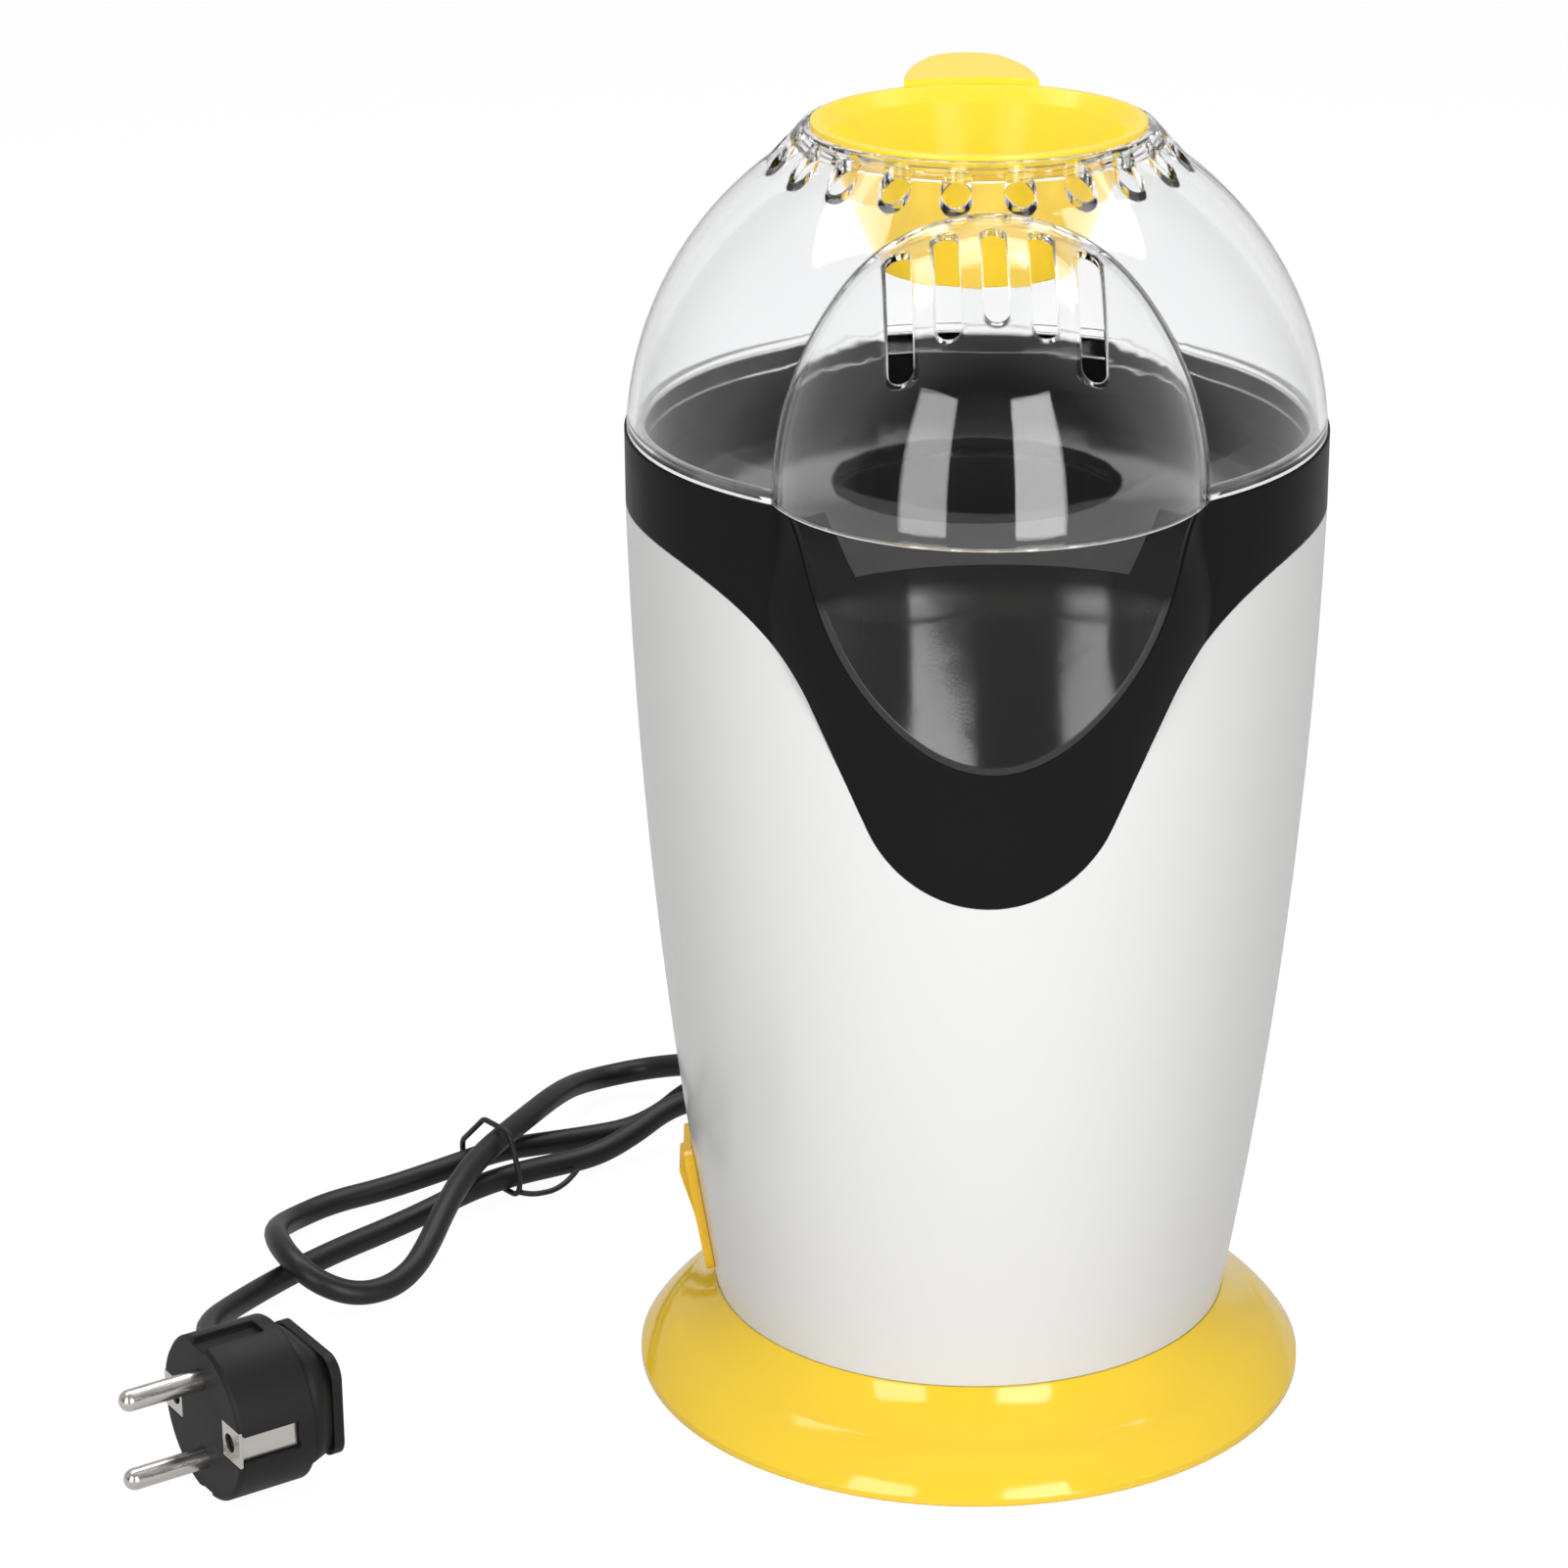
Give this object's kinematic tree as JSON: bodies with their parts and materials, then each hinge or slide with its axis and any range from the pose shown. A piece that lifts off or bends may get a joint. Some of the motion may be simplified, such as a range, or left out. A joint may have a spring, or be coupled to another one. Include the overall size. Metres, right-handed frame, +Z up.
{
  "type": "popcorn maker",
  "caption": "Hot-air popcorn maker: flared base, barrel body, collar with spout and chute, clear dome lid with a slotted hood, measuring cup in its neck, rocker switch, tied lead and plug.",
  "frame": {"origin": "on the machine's upright axis, at table height under the feet", "axes": "+Z up, the spout faces -Y, the rocker switch is on the -X side, the lead leaves at +Y"},
  "size_m": [0.2601, 0.2451, 0.2887],
  "materials": {
    "yellow_gloss": "polished moulding",
    "white_gloss": "polished moulding",
    "black_satin": "satin moulding",
    "chamber_black": "dark non-stick coating",
    "chute_black": "fine grained moulding",
    "clear_dome": "clear moulding",
    "cup_yellow": "satin moulding",
    "lead_black": "smooth sheath",
    "plug_black": "moulded",
    "nickel": "nickel plated",
    "tie_black": "coated wire",
    "dark_plastic": "moulded",
    "foot_rubber": "matt",
    "steel": "plain",
    "mica": "laminated sheet",
    "heater_wire": "drawn wire",
    "fan_grey": "moulded",
    "brass": "stamped",
    "board_green": "laminate"
  },
  "bodies": {
    "housing": {"base_ring": "yellow_gloss", "base_plate": "dark_plastic", "rubber_feet": "foot_rubber", "base_screws": "steel", "body_shell": "white_gloss", "collar": "black_satin", "deck_chute": "chute_black", "popping_chamber": "chamber_black", "chamber_seal": "chute_black", "heat_shield": "steel", "mica_frame": "mica", "heater_coil": "heater_wire", "fan_housing": "dark_plastic", "motor_can": "steel", "motor_end_cap": "dark_plastic", "motor_terminals": "brass", "motor_screws": "steel", "rectifier_board": "board_green", "thermostat": "brass", "thermal_fuse": "nickel", "switch_bezel": "yellow_gloss", "switch_terminals": "brass", "cord_gland": "lead_black", "cord": "lead_black", "cord_tie": "tie_black", "plug_body": "plug_black", "plug_pins": "nickel", "plug_earth_clips": "nickel"},
    "lid": {"lid": "clear_dome"},
    "cup": {"measuring_cup": "cup_yellow"},
    "rocker": {"switch_rocker": "yellow_gloss"},
    "rotor": {"motor_shaft": "steel", "fan_impeller": "fan_grey", "fan_cap": "steel"}
  },
  "joints": [
    {"name": "lid_lift", "type": "slide", "parent": "housing", "child": "lid", "axis": [0, 0, 1], "range_m": [0, 0.08]},
    {"name": "cup_lift", "type": "slide", "parent": "lid", "child": "cup", "axis": [0, 0, 1], "range_m": [0, 0.06]},
    {"name": "rocker_tilt", "type": "hinge", "parent": "housing", "child": "rocker", "pos_m": [-0.05843, 0, 0.03993], "axis": [0, 1, 0], "range_deg": [0, 10]},
    {"name": "fan_spin", "type": "hinge", "parent": "housing", "child": "rotor", "pos_m": [0, 0, 0.06], "axis": [0, 0, 1], "continuous": true}
  ]
}
